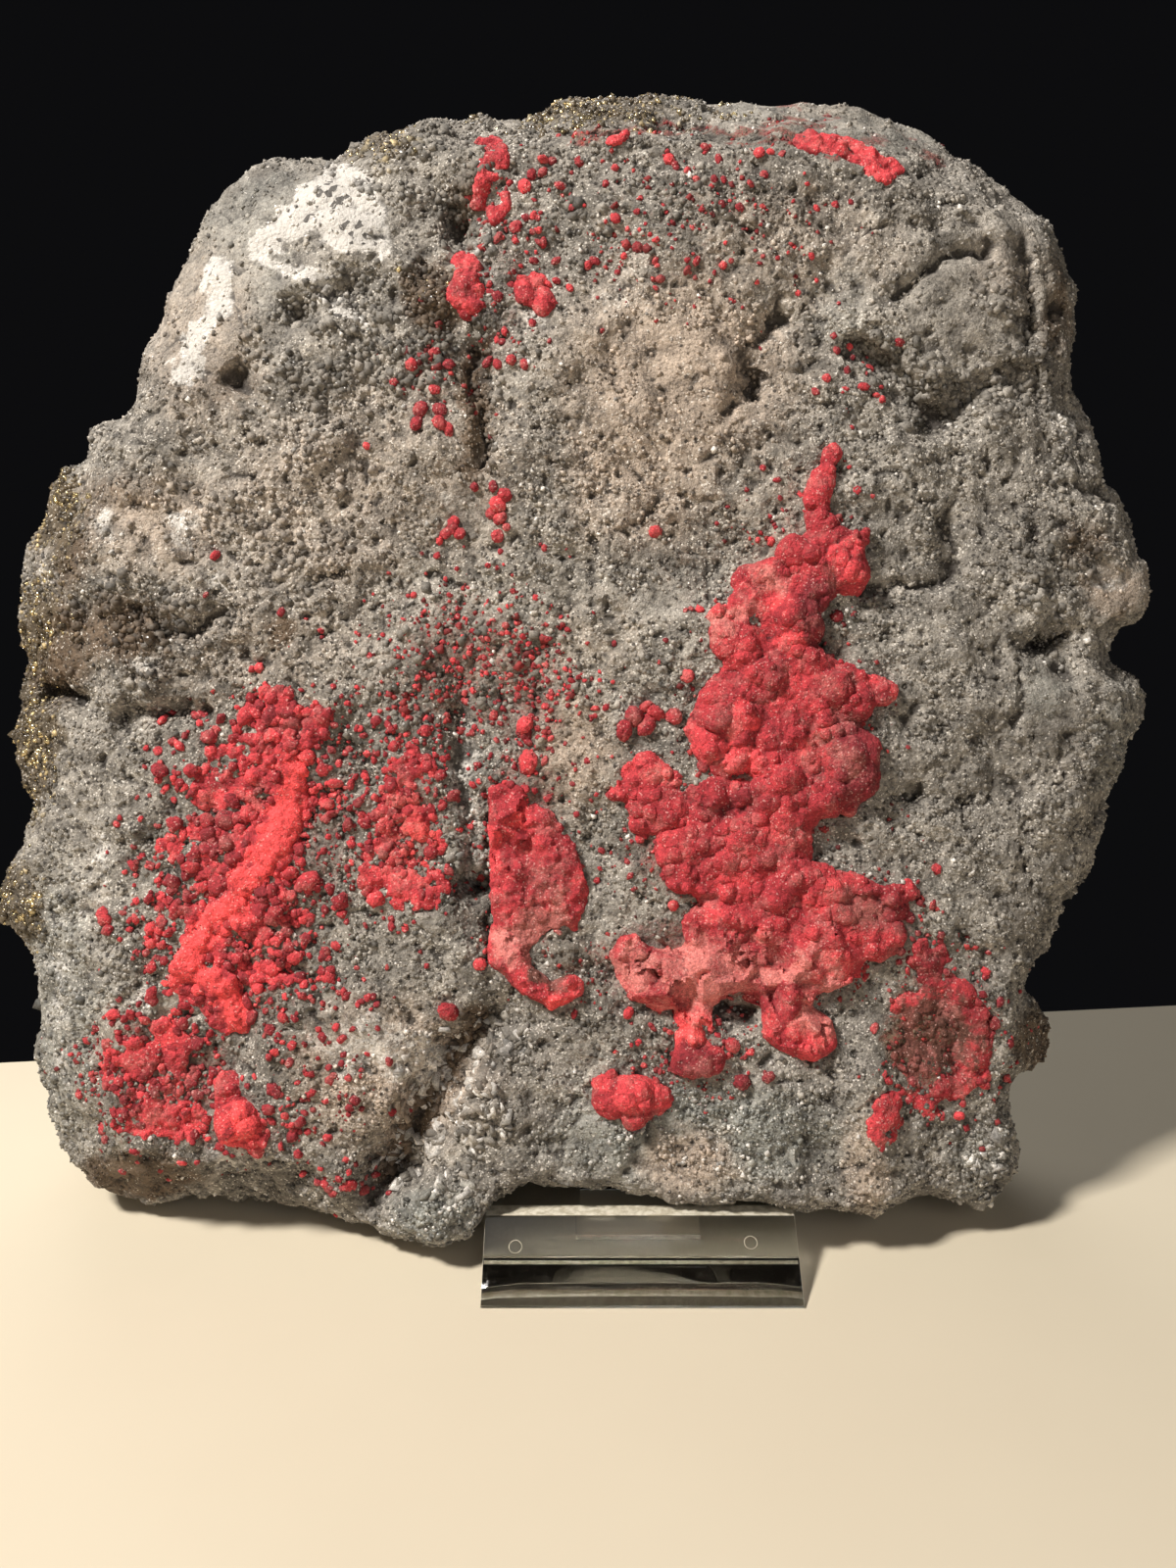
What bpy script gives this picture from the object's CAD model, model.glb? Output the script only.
# Cinnabar on matrix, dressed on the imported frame: a slab of altered grey rock whose broken face
# carries red crusts of cinnabar, leaning in a clear stand bent from one sheet.
#
# Sizes are in millimetres until they reach a mesh. The broken face has axes of its own: u to the
# right, v up and w out towards the camera. A place (u, v) is where a point is seen from the camera,
# so a nodule is put on the rock by casting a ray from there.

import math
import random

import bmesh
import bpy
import numpy as np
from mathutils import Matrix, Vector, noise
from mathutils.bvhtree import BVHTree
from mathutils.kdtree import KDTree


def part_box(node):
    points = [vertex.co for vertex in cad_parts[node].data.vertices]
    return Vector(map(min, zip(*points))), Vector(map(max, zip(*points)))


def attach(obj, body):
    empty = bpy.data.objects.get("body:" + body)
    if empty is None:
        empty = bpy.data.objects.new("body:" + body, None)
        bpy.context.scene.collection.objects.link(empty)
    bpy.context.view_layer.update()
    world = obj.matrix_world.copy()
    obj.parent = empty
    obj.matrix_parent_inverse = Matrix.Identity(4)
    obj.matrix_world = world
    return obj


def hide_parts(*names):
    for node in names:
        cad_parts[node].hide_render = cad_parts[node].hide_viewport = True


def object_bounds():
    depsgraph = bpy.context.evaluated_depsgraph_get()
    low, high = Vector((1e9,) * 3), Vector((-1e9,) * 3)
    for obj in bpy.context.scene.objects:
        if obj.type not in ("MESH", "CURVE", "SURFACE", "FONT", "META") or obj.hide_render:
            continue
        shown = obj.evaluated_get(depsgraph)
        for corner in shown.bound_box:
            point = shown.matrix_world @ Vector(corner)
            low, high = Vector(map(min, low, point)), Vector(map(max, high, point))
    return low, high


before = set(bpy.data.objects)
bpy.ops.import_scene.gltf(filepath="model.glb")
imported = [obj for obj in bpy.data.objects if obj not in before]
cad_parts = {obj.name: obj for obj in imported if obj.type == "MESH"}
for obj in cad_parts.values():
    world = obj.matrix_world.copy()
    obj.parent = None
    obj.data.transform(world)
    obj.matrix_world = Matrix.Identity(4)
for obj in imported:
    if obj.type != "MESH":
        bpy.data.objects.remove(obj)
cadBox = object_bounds()
bpy.ops.object.select_all(action="DESELECT")
print("frame loaded:", len(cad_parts), "nodes")

mm = 0.001

# The stand gives the place of everything: its nose is the front of the object
layout = {
    "standMiddle": 11.5,
    "noseToFoot": 124.6,
    "lean": math.radians(15),
    "faceMiddle": (0, 41.9, 103.6),
    "eyeDistance": 271.3,
    "lens": 28.08,
    "sensor": 36.0,
}
standLow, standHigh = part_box("display_stand")
nose = Vector((
    (standLow.x + standHigh.x) / 2 - layout["standMiddle"] * mm,
    standHigh.y - layout["noseToFoot"] * mm,
    0,
))
faceMiddle = nose + Vector(layout["faceMiddle"]) * mm
faceUp = Vector((0, math.sin(layout["lean"]), math.cos(layout["lean"])))
faceOut = Vector((0, -math.cos(layout["lean"]), math.sin(layout["lean"])))
eye = faceMiddle + faceOut * layout["eyeDistance"] * mm


def facePoint(u, v, w=0.0):
    return faceMiddle + (Vector((u, 0, 0)) + faceUp * v + faceOut * w) * mm


def seenPlaces(points):
    # u and v as seen from the camera, and the height w
    away = (points - np.array(faceMiddle)) / mm
    w = away @ np.array(faceOut)
    spread = 1 - w / layout["eyeDistance"]
    return away[:, 0] / spread, away @ np.array(faceUp) / spread, w


# Camera, light and floor

bpy.ops.object.camera_add(location=eye, rotation=(math.pi / 2 - layout["lean"], 0, 0))
camera = bpy.context.object
camera.name = "photo_camera"
camera.data.lens = layout["lens"]
camera.data.sensor_width = layout["sensor"]
camera.data.clip_start = 0.01
bpy.context.scene.camera = camera

studio = {
    # name: place and target in metres, size, watts, colour. The key hangs high over the left side,
    # so its light grazes the broken face
    "key": ((-0.58, -0.36, 0.90), (0.0, 0.0, 0.11), 0.14, 18.0, (1.0, 0.96, 0.91)),
    "fill": ((0.35, -0.85, 0.45), (0.0, 0.0, 0.10), 0.80, 2.0, (1.0, 0.97, 0.95)),
    "top": ((0.10, 0.62, 0.95), (0.0, 0.0, 0.10), 0.60, 1.4, (1.0, 0.98, 0.96)),
    "back": ((-0.30, 0.95, 0.62), (0.0, 0.0, 0.10), 0.90, 4.0, (0.97, 0.98, 1.0)),
}
for name, (place, target, size, watts, colour) in studio.items():
    aim = (Vector(target) - Vector(place)).to_track_quat("-Z", "Y").to_euler()
    bpy.ops.object.light_add(type="AREA", location=place, rotation=aim)
    lamp = bpy.context.object
    lamp.name = "light_" + name
    lamp.data.size = size
    lamp.data.energy = watts
    lamp.data.color = colour
backdrop = bpy.data.worlds.new("backdrop")
backdrop.use_nodes = True
backdrop.node_tree.nodes["Background"].inputs["Color"].default_value = (0.004, 0.004, 0.0045, 1)
bpy.context.scene.world = backdrop
bpy.context.scene.view_settings.view_transform = "Standard"


# Materials. Sums and products of a value add Math nodes.

class Value:
    def __init__(self, recipe, socket):
        self.recipe = recipe
        self.socket = socket

    def math(self, operation, first, second):
        return self.recipe.node("ShaderNodeMath", {"operation": operation}, {0: first, 1: second})

    def __add__(self, other):
        return self.math("ADD", self, other)

    def __radd__(self, other):
        return self.math("ADD", other, self)

    def __sub__(self, other):
        return self.math("SUBTRACT", self, other)

    def __rsub__(self, other):
        return self.math("SUBTRACT", other, self)

    def __mul__(self, other):
        return self.math("MULTIPLY", self, other)

    def __rmul__(self, other):
        return self.math("MULTIPLY", other, self)


class Recipe:
    def __init__(self, name):
        self.material = bpy.data.materials.new(name)
        self.material.use_nodes = True
        self.tree = self.material.node_tree
        self.shader = self.tree.nodes["Principled BSDF"]
        self.place = self.node("ShaderNodeTexCoord", {}, {}, "Object")

    def feed(self, socket, value):
        if isinstance(value, Value):
            self.tree.links.new(value.socket, socket)
        else:
            socket.default_value = value

    def node(self, kind, settings, inputs, output=0):
        made = self.tree.nodes.new(kind)
        for name, value in settings.items():
            if name == "stops":
                for number, (position, colour) in enumerate(value):
                    stop = made.color_ramp.elements[number] if number < 2 else (
                        made.color_ramp.elements.new(position))
                    stop.position = position
                    stop.color = colour
            else:
                setattr(made, name, value)
        for name, value in inputs.items():
            self.feed(made.inputs[name], value)
        return Value(self, made.outputs[output])

    def noise(self, size, detail=3.0, rough=0.6, shift=0.0):
        # humps about size millimetres across, from 0 to 1
        spot = self.place
        if shift:
            spot = self.node("ShaderNodeVectorMath", {"operation": "ADD"},
                             {0: self.place, 1: (shift, shift, shift)})
        return self.node("ShaderNodeTexNoise", {}, {
            "Vector": spot, "Scale": 1 / (size * mm), "Detail": detail, "Roughness": rough})

    def cells(self, size, feature="F1", shift=0.0, output="Distance"):
        spot = self.place
        if shift:
            spot = self.node("ShaderNodeVectorMath", {"operation": "ADD"},
                             {0: self.place, 1: (shift, shift, shift)})
        return self.node("ShaderNodeTexVoronoi", {"feature": feature}, {
            "Vector": spot, "Scale": 1 / (size * mm)}, output)

    def dice(self, size, shift=0.0, channel="Red"):
        # one random number, 0 to 1, for each cell about size millimetres across
        drawn = self.cells(size, shift=shift, output="Color")
        return self.node("ShaderNodeSeparateColor", {}, {"Color": drawn}, channel)

    def grey(self, value):
        return self.node("ShaderNodeCombineColor", {}, {"Red": value, "Green": value, "Blue": value})

    def painted(self, name):
        return self.node("ShaderNodeAttribute", {"attribute_name": name}, {}, "Fac")

    def step(self, value, low, high):
        # 0 below low and 1 above high
        return self.node("ShaderNodeMapRange", {"interpolation_type": "SMOOTHSTEP"}, {
            "Value": value, "From Min": low, "From Max": high})

    def mix(self, mask, first, second, blend="MIX"):
        return self.node("ShaderNodeMix", {"data_type": "RGBA", "blend_type": blend}, {
            0: mask, 6: first, 7: second}, 2)

    def bump(self, height, depth, strength=1.0, under=None):
        inputs = {"Height": height, "Distance": depth * mm, "Strength": strength}
        if under:
            inputs["Normal"] = under
        return self.node("ShaderNodeBump", {}, inputs)

    def finish(self, **inputs):
        for name, value in inputs.items():
            self.feed(self.shader.inputs[name.replace("_", " ")], value)
        return self.material


def paint(red, green, blue):
    # a colour as seen on a screen, 0 to 255, made linear
    linear = []
    for part in (red, green, blue):
        part /= 255
        linear.append(part / 12.92 if part <= 0.04045 else ((part + 0.055) / 1.055) ** 2.4)
    return (*linear, 1.0)


rockPaints = {
    "grey": paint(157, 150, 140),
    "shade": paint(106, 100, 92),
    "warm": paint(172, 154, 137),
    "pale": paint(208, 202, 194),
    "green": paint(136, 136, 129),
    "brown": paint(94, 76, 58),
    "gold": paint(86, 74, 56),
    "stain": paint(150, 56, 56),
    "pore": paint(40, 33, 28),
}


def rockMaterial(name, grains):
    # the colours of the altered rock: the bare surface, or the loose grains that lie on it
    recipe = Recipe(name)
    broad = recipe.noise(24, 4)
    middle = recipe.noise(5, 4, 0.7, 3.1)
    fine = recipe.noise(1.2, 3, 0.7, 7.7)
    shade = recipe.step(broad * 0.45 + middle * 0.55, 0.36, 0.62)
    colour = recipe.mix(shade, rockPaints["shade"], rockPaints["grey"])
    wobble = (middle - 0.5) * 1.3 + (fine - 0.5) * 1.1
    for zone, low, high in (
        ("green", 0.2, 0.9), ("warm", 0.1, 1.0), ("brown", 0.25, 0.75), ("pale", 0.40, 0.66),
        ("gold", 0.3, 0.7),
    ):
        mask = recipe.step(recipe.painted(zone) + wobble * 0.5, low, high)
        colour = recipe.mix(mask * 0.9, colour, rockPaints[zone])
    if grains:
        red = recipe.painted("reddened")
        colour = recipe.mix(red, colour, recipe.mix(fine, paint(104, 26, 32), paint(182, 62, 58)))
        shine = recipe.painted("glint") * recipe.painted("gold")
        colour = recipe.mix(shine * 0.8, colour, paint(226, 204, 156))
        shades = recipe.painted("tone") * (0.7 + 0.6 * recipe.dice(0.33, 5.7))
        bright = recipe.mix(1.0, colour, recipe.grey(shades), "MULTIPLY")
        return recipe.finish(
            Base_Color=bright,
            Metallic=shine * 0.8,
            Roughness=0.75 - 0.5 * recipe.painted("glassy"),
            Normal=recipe.bump(fine, 0.12),
        )
    stain = recipe.step(recipe.painted("stain") + wobble * 0.7, 0.25, 0.85)
    # every grain of the surface has its own shade: some are white and some are holes
    grain = recipe.dice(1.05)
    crumb = recipe.dice(0.6, 2.2)
    speck = recipe.dice(0.33, 5.7)
    patch = recipe.step(recipe.noise(6, 4, 0.65, 9.2), 0.36, 0.64)
    cloud = recipe.noise(17, 3, 0.6, 12.4)
    shades = 0.46 * patch - 0.06 + 0.28 * grain + 0.28 * crumb + 0.54 * speck + 0.5 * cloud
    chalky = recipe.step(recipe.painted("pale") + wobble * 0.2, 0.55, 0.85)
    shades = shades + 0.75 * chalky * (0.98 - shades)
    colour = recipe.mix(stain * 0.75, colour, recipe.mix(crumb, rockPaints["stain"], rockPaints["brown"]))
    colour = recipe.mix(1.0, colour, recipe.grey(shades), "MULTIPLY")
    bare = recipe.painted("smooth")
    white = recipe.step(speck + middle * 0.3 - 0.25 * stain - 0.1 * bare, 1.06, 1.12)
    colour = recipe.mix(white * 0.75, colour, paint(232, 224, 212))
    dome = recipe.cells(1.05)
    holes = recipe.step(grain - 0.9 * middle + 0.35 * bare + 0.5 * chalky, -0.28, -0.36)
    hole = holes * recipe.step(dome, 0.55, 0.3)
    inWhite = recipe.step(recipe.painted("speckled") + 0.6 * recipe.dice(1.5, 21.3), 1.16, 1.2)
    hole = 1 - (1 - hole) * (1 - inWhite)
    deep = recipe.step(recipe.painted("deep") + (fine - 0.5) * 0.7, 0.05, 0.6)
    colour = recipe.mix(1 - (1 - hole * 0.85) * (1 - deep * 0.8), colour, rockPaints["pore"])
    rough = recipe.bump(recipe.noise(0.4, 2, 0.7, 4.4), 0.3, 1.0)
    domes = recipe.bump(1 - dome, 0.4, 0.6, rough)
    return recipe.finish(
        Base_Color=colour,
        Roughness=0.85 - 0.35 * recipe.painted("green") - 0.3 * white,
        Normal=recipe.bump(fine, 0.5, 0.9, domes),
    )


crustPaints = {
    "vermilion": paint(214, 68, 73),
    "blood": paint(164, 44, 52),
    "crimson": paint(122, 32, 40),
    "orange": paint(243, 80, 80),
    "rose": paint(206, 122, 114),
    "dusty": paint(158, 92, 84),
    "brown": paint(84, 56, 44),
    "crease": paint(58, 14, 18),
}


def crustMaterial():
    recipe = Recipe("cinnabar_crust")
    broad = recipe.noise(9, 3, 0.6, 6.6)
    middle = recipe.noise(3.2, 3, 0.65, 2.3)
    fine = recipe.noise(0.8, 3, 0.7, 5.1)
    tone = recipe.painted("tone")
    wobble = (middle - 0.5) * 1.3 + (fine - 0.5) * 1.0
    colour = recipe.mix(recipe.step(broad * 0.4 + middle * 0.5 + tone * 0.55, 0.5, 1.0),
                        crustPaints["blood"], crustPaints["vermilion"])
    for zone, low, high in (
        ("orange", 0.3, 0.9), ("crimson", 0.3, 0.95), ("dusty", 0.35, 0.95), ("rose", 0.35, 0.8),
        ("brown", 0.4, 0.8),
    ):
        mask = recipe.step(recipe.painted(zone) + wobble * 0.6 + (tone - 0.5) * 0.5, low, high)
        colour = recipe.mix(mask * 0.9, colour, crustPaints[zone])
    # pale dust in patches, less of it on the bright streaks
    dust = recipe.step(recipe.noise(5, 4, 0.7, 14.5) + 0.2 * fine - 0.2 * recipe.painted("orange"), 0.58, 0.74)
    colour = recipe.mix(dust * 0.45, colour, paint(188, 112, 106))
    crumb = recipe.dice(0.6, 4.2)
    speck = recipe.dice(0.33, 7.9)
    colour = recipe.mix(1.0, colour, recipe.grey(0.44 + 0.36 * crumb + 0.52 * speck + 0.3 * tone), "MULTIPLY")
    pale = recipe.step(speck + middle * 0.3, 1.08, 1.13)
    colour = recipe.mix(pale * 0.45, colour, paint(226, 178, 168))
    deep = recipe.step(recipe.painted("deep") + (fine - 0.5) * 0.6, 0.02, 0.6)
    colour = recipe.mix(deep * 0.8, colour, crustPaints["crease"])
    sand = recipe.bump(recipe.noise(0.36, 2, 0.6, 8.2), 0.3, 1.0)
    return recipe.finish(
        Base_Color=colour,
        Roughness=0.85 - 0.3 * pale,
        Normal=recipe.bump(fine, 0.5, 0.9, sand),
    )


def clearMaterial():
    # clear, with a faint haze of scratches and dust
    recipe = Recipe("clear_sheet")
    scratch = recipe.step(recipe.noise(2.5, 5, 0.75), 0.5, 0.75)
    recipe.finish(
        Base_Color=(0.96, 0.97, 0.96, 1), IOR=1.49, Transmission_Weight=1.0,
        Roughness=0.01 + 0.1 * scratch)
    haze = recipe.node("ShaderNodeBsdfDiffuse", {}, {"Color": paint(196, 184, 164)})
    both = recipe.node("ShaderNodeMixShader", {}, {
        0: 0.004 + 0.04 * scratch, 1: Value(recipe, recipe.shader.outputs[0]), 2: haze})
    recipe.feed(recipe.tree.nodes["Material Output"].inputs["Surface"], both)
    return recipe.material


def frostedMaterial():
    recipe = Recipe("sawn_edge")
    scratches = recipe.noise(0.6, 3, 0.7)
    return recipe.finish(
        Base_Color=recipe.mix(recipe.step(recipe.noise(1.5, 4), 0.35, 0.65),
                              paint(196, 186, 162), paint(240, 232, 212)),
        Roughness=0.5, IOR=1.49, Transmission_Weight=0.25,
        Normal=recipe.bump(scratches, 0.2, 0.8))


def floorMaterial():
    recipe = Recipe("pale_floor")
    recipe.finish(
        Base_Color=recipe.mix(recipe.noise(60), paint(206, 194, 171), paint(211, 200, 177)),
        Roughness=0.7)
    return recipe.material


bareRock = rockMaterial("bare_rock", False)
looseGrain = rockMaterial("loose_grain", True)
redCrust = crustMaterial()
clearSheet = clearMaterial()
sawnEdge = frostedMaterial()
print("materials made")

# A board that ends just behind the stand's rear foot, a little askew. It lies a hair under the
# object, so that the clear foot shows it through a film of air.
board = {"width": 2.4, "depth": 1.5, "endMiddle": (11.5, 129.0, -0.1), "askew": math.radians(6.1)}
bpy.ops.mesh.primitive_plane_add(size=1, location=(0, -0.5, 0))
floor = bpy.context.object
floor.name = "floor"
bpy.ops.object.transform_apply(location=True, rotation=True, scale=True)
floor.scale = (board["width"], board["depth"], 1)
floor.rotation_euler.z = board["askew"]
floor.location = nose + Vector(board["endMiddle"]) * mm
bpy.ops.object.transform_apply(location=True, rotation=True, scale=True)
floor.data.materials.append(floorMaterial())


# Helpers for meshes

def pick(piece):
    bpy.ops.object.select_all(action="DESELECT")
    piece.select_set(True)
    bpy.context.view_layer.objects.active = piece


def applyModifiers(piece):
    pick(piece)
    for modifier in list(piece.modifiers):
        bpy.ops.object.modifier_apply(modifier=modifier.name)


def copyOfNode(node, name):
    # a closed copy of a CAD node, in an object of its own
    piece = bpy.data.objects.new(name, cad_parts[node].data.copy())
    bpy.context.scene.collection.objects.link(piece)
    pick(piece)
    bpy.ops.object.mode_set(mode="EDIT")
    bpy.ops.mesh.select_all(action="SELECT")
    bpy.ops.mesh.remove_doubles(threshold=0.01 * mm)
    bpy.ops.mesh.normals_make_consistent(inside=False)
    bpy.ops.object.mode_set(mode="OBJECT")
    piece.data.materials.clear()
    return piece


def remesh(piece, voxel, smoothing=0):
    grid = piece.modifiers.new("grid", "REMESH")
    grid.mode = "VOXEL"
    grid.voxel_size = voxel * mm
    if smoothing:
        soften = piece.modifiers.new("soften", "SMOOTH")
        soften.iterations = smoothing
    applyModifiers(piece)


def displace(piece, name, kind, size, height, **settings):
    pattern = bpy.data.textures.new(name, kind)
    pattern.noise_scale = size * mm
    for setting, value in settings.items():
        setattr(pattern, setting, value)
    lift = piece.modifiers.new(name, "DISPLACE")
    lift.texture = pattern
    lift.texture_coords = "LOCAL"
    lift.strength = height * mm


def corners(piece):
    places = np.empty(len(piece.data.vertices) * 3)
    piece.data.vertices.foreach_get("co", places)
    return places.reshape(-1, 3)


def normals(piece):
    directions = np.empty(len(piece.data.vertices) * 3, np.float32)
    piece.data.vertex_normals.foreach_get("vector", directions)
    return directions.reshape(-1, 3).astype(float)


def moveCorners(piece, places):
    piece.data.vertices.foreach_set("co", places.ravel())
    piece.data.update()


def store(piece, name, values):
    layer = piece.data.attributes.new(name, "FLOAT", "POINT")
    layer.data.foreach_set("value", np.asarray(values, np.float32))


def softStep(low, high, values):
    share = np.clip((values - low) / (high - low), 0, 1)
    return share * share * (3 - 2 * share)


def humps(points, size, shift=0.0):
    # smooth noise, about -0.7 to 0.7
    scaled = points / (size * mm) + shift
    return np.array([noise.noise(spot) for spot in scaled.tolist()])


def blockHeight(points, size):
    # heights of a surface broken into tilted planes, which meet in creases
    heights = []
    for spot in (points / (size * mm)).tolist():
        distances, seeds = noise.voronoi(spot)
        planes = []
        for distance, seed in zip(distances, seeds):
            tilt = noise.noise_vector(seed * 3.7) * 2
            plane = (Vector(spot) - seed).dot(tilt) + 0.9 * noise.noise(seed * 5.3)
            planes.append(plane + 1.2 * (distance - distances[0]))
        heights.append(min(planes))
    return np.clip(np.array(heights), -0.9, 0.9)


def domeHeight(points, size):
    # heights of a surface swollen into round domes, which meet in creases
    nearest = [noise.voronoi(spot)[0][0] for spot in (points / (size * mm)).tolist()]
    return 0.5 - np.minimum(nearest, 0.9) ** 2


def cellDice(points, size):
    # one random number for each block
    drawn = []
    for spot in (points / (size * mm)).tolist():
        distances, seeds = noise.voronoi(spot)
        drawn.append(noise.cell_vector(seeds[0] * 91.7)[0])
    return np.array(drawn)


def farFromPath(u, v, path):
    nearest = np.full(len(u), 1e9)
    for (u0, v0), (u1, v1) in zip(path, path[1:]):
        du, dv = u1 - u0, v1 - v0
        along = np.clip(((u - u0) * du + (v - v0) * dv) / (du * du + dv * dv), 0, 1)
        nearest = np.minimum(nearest, np.hypot(u - u0 - along * du, v - v0 - along * dv))
    return nearest


def insideOutline(u, v, outline):
    # how far inside a closed outline, in millimetres: below zero outside it
    inside = np.zeros(len(u), bool)
    loop = list(zip(outline, outline[1:] + outline[:1]))
    for (u0, v0), (u1, v1) in loop:
        if v0 != v1:
            inside ^= ((v0 > v) != (v1 > v)) & (u < (u1 - u0) * (v - v0) / (v1 - v0) + u0)
    far = farFromPath(u, v, outline + outline[:1])
    return np.where(inside, far, -far)


def roughSurface(mesh):
    # how far each point lies below the mean of what is round it, in millimetres
    count = len(mesh.data.vertices)
    ends = np.empty(len(mesh.data.edges) * 2, np.int64)
    mesh.data.edges.foreach_get("vertices", ends)
    first, second = ends.reshape(-1, 2).T
    places = corners(mesh)
    even = places.copy()
    degree = np.maximum(np.bincount(ends, minlength=count), 1)
    for turn in range(8):
        total = np.empty_like(even)
        for axis in range(3):
            total[:, axis] = (
                np.bincount(first, even[second, axis], count)
                + np.bincount(second, even[first, axis], count))
        even = 0.3 * even + 0.7 * total / degree[:, None]
    return ((even - places) * normals(mesh)).sum(axis=1) / mm


def addPiece(piece, material, node=None):
    piece.data.materials.clear()
    piece.data.materials.append(material)
    piece.data.polygons.foreach_set("material_index", [0] * len(piece.data.polygons))
    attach(piece, "root")
    if node:
        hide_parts(node)


# Where the rock changes its colour: spots are (u, v, half width, half height, amount), lines are
# (path, half width, amount) and patches are (outline, amount)

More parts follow.
